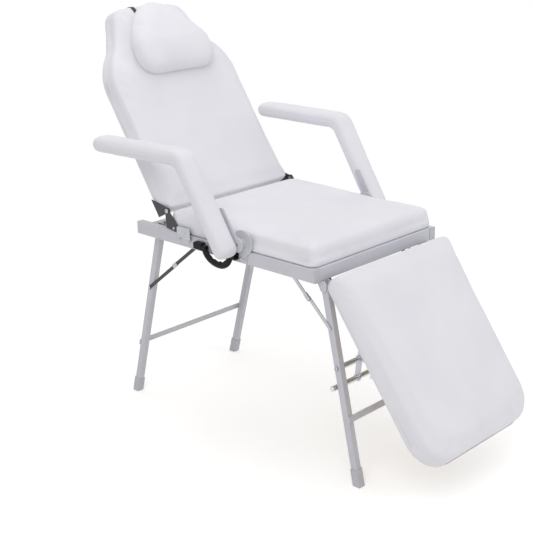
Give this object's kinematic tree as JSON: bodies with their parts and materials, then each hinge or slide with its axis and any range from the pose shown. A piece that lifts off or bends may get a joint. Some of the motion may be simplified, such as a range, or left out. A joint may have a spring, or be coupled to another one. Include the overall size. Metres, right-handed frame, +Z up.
{
  "type": "folding tattoo chair",
  "caption": "White padded tattoo chair with a grey folding steel frame, reclining backrest with head pillow, drop footrest, two arms and a side carrying handle.",
  "frame": {"origin": "on the floor, under the middle of the chair's bounding box", "axes": "+Z up, +Y towards the head end, +X across the chair"},
  "size_m": [0.7898, 1.4286, 1.2848],
  "materials": {
    "frame_paint": "light silver-grey powder coat",
    "grey_plastic": "moulded light grey plastic",
    "plywood": "bare plywood",
    "white_vinyl": "white soft vinyl with a fine grain",
    "black_paint": "black enamel",
    "zinc_steel": "bright zinc plate",
    "chrome_tube": "polished chrome plate",
    "black_plastic": "moulded black plastic",
    "black_elastic": "woven elastic band"
  },
  "bodies": {
    "frame": {"side_rail_left": "frame_paint", "side_rail_right": "frame_paint", "front_cross_rail": "frame_paint", "rear_cross_rail": "frame_paint", "rail_end_caps": "grey_plastic", "seat_board": "plywood", "seat_cushion": "white_vinyl", "seat_hinge_plates": "black_paint", "backrest_pivot_pins": "zinc_steel", "backrest_racks": "zinc_steel", "front_leg_brackets": "frame_paint", "leg_pivot_bolts": "zinc_steel", "brace_rail_pins": "zinc_steel", "footrest_hinge_lugs": "frame_paint", "armrest_bracket_left": "frame_paint", "armrest_bracket_right": "frame_paint", "armrest_bolts": "zinc_steel", "handle_mounts": "black_plastic", "latch_base": "zinc_steel", "frame_screws": "zinc_steel"},
    "backrest": {"backrest_board": "plywood", "backrest_cushion": "white_vinyl", "backrest_hinge_plates": "black_paint", "head_pillow": "white_vinyl", "pillow_straps": "black_elastic", "prop_brackets": "zinc_steel"},
    "backrest_prop": {"prop_arms": "chrome_tube", "prop_foot_bar": "chrome_tube"},
    "footrest": {"footrest_board": "plywood", "footrest_cushion": "white_vinyl", "footrest_hinge_arms": "black_paint"},
    "front_legs": {"front_leg_left": "frame_paint", "front_leg_right": "frame_paint", "front_foot_caps": "grey_plastic", "front_cross_bar": "frame_paint", "support_pivot_tube": "chrome_tube", "support_stop_tube": "chrome_tube", "support_plates": "zinc_steel", "support_rest_rod": "chrome_tube", "support_lever_rod": "chrome_tube", "front_leg_rivets": "zinc_steel"},
    "rear_legs": {"rear_leg_left": "frame_paint", "rear_leg_right": "frame_paint", "rear_foot_caps": "grey_plastic", "rear_cross_bar": "frame_paint", "rear_leg_rivets": "zinc_steel"},
    "front_upper_links": {"front_brace_upper": "zinc_steel"},
    "front_lower_links": {"front_brace_lower": "zinc_steel"},
    "rear_upper_links": {"rear_brace_upper": "black_paint"},
    "rear_lower_links": {"rear_brace_lower": "black_paint"},
    "front_ring_left": {"front_ring_left": "zinc_steel"},
    "front_ring_right": {"front_ring_right": "zinc_steel"},
    "rear_ring_left": {"rear_ring_left": "zinc_steel"},
    "rear_ring_right": {"rear_ring_right": "zinc_steel"},
    "armrest_left": {"armrest_carrier_left": "frame_paint", "armrest_pad_left": "white_vinyl"},
    "armrest_right": {"armrest_carrier_right": "frame_paint", "armrest_pad_right": "white_vinyl"},
    "carry_handle": {"carry_handle": "black_plastic"},
    "latch_lever": {"latch_lever": "zinc_steel"}
  },
  "joints": [
    {"name": "backrest_hinge", "type": "hinge", "parent": "frame", "child": "backrest", "pos_m": [0, 0.28499, 0.69], "axis": [1, 0, 0], "range_deg": [-57, 98]},
    {"name": "prop_hinge", "type": "hinge", "parent": "backrest", "child": "backrest_prop", "pos_m": [0, 0.50709, 0.90348], "axis": [1, 0, 0], "range_deg": [-10, 16]},
    {"name": "footrest_hinge", "type": "hinge", "parent": "frame", "child": "footrest", "pos_m": [0, -0.28361, 0.598], "axis": [-1, 0, 0], "range_deg": [0, 54]},
    {"name": "front_legs_fold", "type": "hinge", "parent": "frame", "child": "front_legs", "pos_m": [0, -0.31801, 0.57], "axis": [1, 0, 0], "range_deg": [0, 100]},
    {"name": "rear_legs_fold", "type": "hinge", "parent": "frame", "child": "rear_legs", "pos_m": [0, 0.37599, 0.602], "axis": [-1, 0, 0], "range_deg": [0, 105.5]},
    {"name": "front_upper_link_hinge", "type": "hinge", "parent": "frame", "child": "front_upper_links", "pos_m": [0, -0.19001, 0.602], "axis": [1, 0, 0], "range_deg": [0, 105.51]},
    {"name": "front_lower_link_hinge", "type": "hinge", "parent": "front_legs", "child": "front_lower_links", "pos_m": [0, -0.3413, 0.4579], "axis": [-1, 0, 0], "range_deg": [0, 154.54]},
    {"name": "rear_upper_link_hinge", "type": "hinge", "parent": "frame", "child": "rear_upper_links", "pos_m": [0, 0.17299, 0.602], "axis": [1, 0, 0], "range_deg": [0, 38.49]},
    {"name": "rear_lower_link_hinge", "type": "hinge", "parent": "rear_legs", "child": "rear_lower_links", "pos_m": [0, 0.43211, 0.39964], "axis": [-1, 0, 0], "range_deg": [0, 37.01]},
    {"name": "front_ring_slide_left", "type": "slide", "parent": "front_upper_links", "child": "front_ring_left", "axis": [0, 0.7241, 0.6897], "range_m": [0, 0.06]},
    {"name": "rear_ring_slide_left", "type": "slide", "parent": "rear_upper_links", "child": "rear_ring_left", "axis": [0, -0.7881, 0.6155], "range_m": [0, 0.06]},
    {"name": "armrest_hinge_left", "type": "hinge", "parent": "frame", "child": "armrest_left", "pos_m": [-0.303, -0.04301, 0.654], "axis": [1, 0, 0], "range_deg": [0, 60]},
    {"name": "front_ring_slide_right", "type": "slide", "parent": "front_upper_links", "child": "front_ring_right", "axis": [0, 0.7241, 0.6897], "range_m": [0, 0.06]},
    {"name": "rear_ring_slide_right", "type": "slide", "parent": "rear_upper_links", "child": "rear_ring_right", "axis": [0, -0.7881, 0.6155], "range_m": [0, 0.06]},
    {"name": "armrest_hinge_right", "type": "hinge", "parent": "frame", "child": "armrest_right", "pos_m": [0.303, -0.04301, 0.654], "axis": [1, 0, 0], "range_deg": [0, 60]},
    {"name": "carry_handle_hinge", "type": "hinge", "parent": "frame", "child": "carry_handle", "pos_m": [-0.2865, 0.05649, 0.611], "axis": [0, 1, 0], "range_deg": [0, 75]},
    {"name": "latch_hinge", "type": "hinge", "parent": "frame", "child": "latch_lever", "pos_m": [-0.2801, 0.20599, 0.621], "axis": [0, -1, 0], "range_deg": [0, 100]}
  ],
  "couplings": [
    {"joint": "prop_hinge", "follows": "backrest_hinge", "ratio": 0.14434},
    {"joint": "front_upper_link_hinge", "follows": "front_legs_fold", "ratio": 1.0501},
    {"joint": "front_lower_link_hinge", "follows": "front_legs_fold", "ratio": 1.5404},
    {"joint": "rear_upper_link_hinge", "follows": "rear_legs_fold", "ratio": 0.36008},
    {"joint": "rear_lower_link_hinge", "follows": "rear_legs_fold", "ratio": 0.34608}
  ]
}
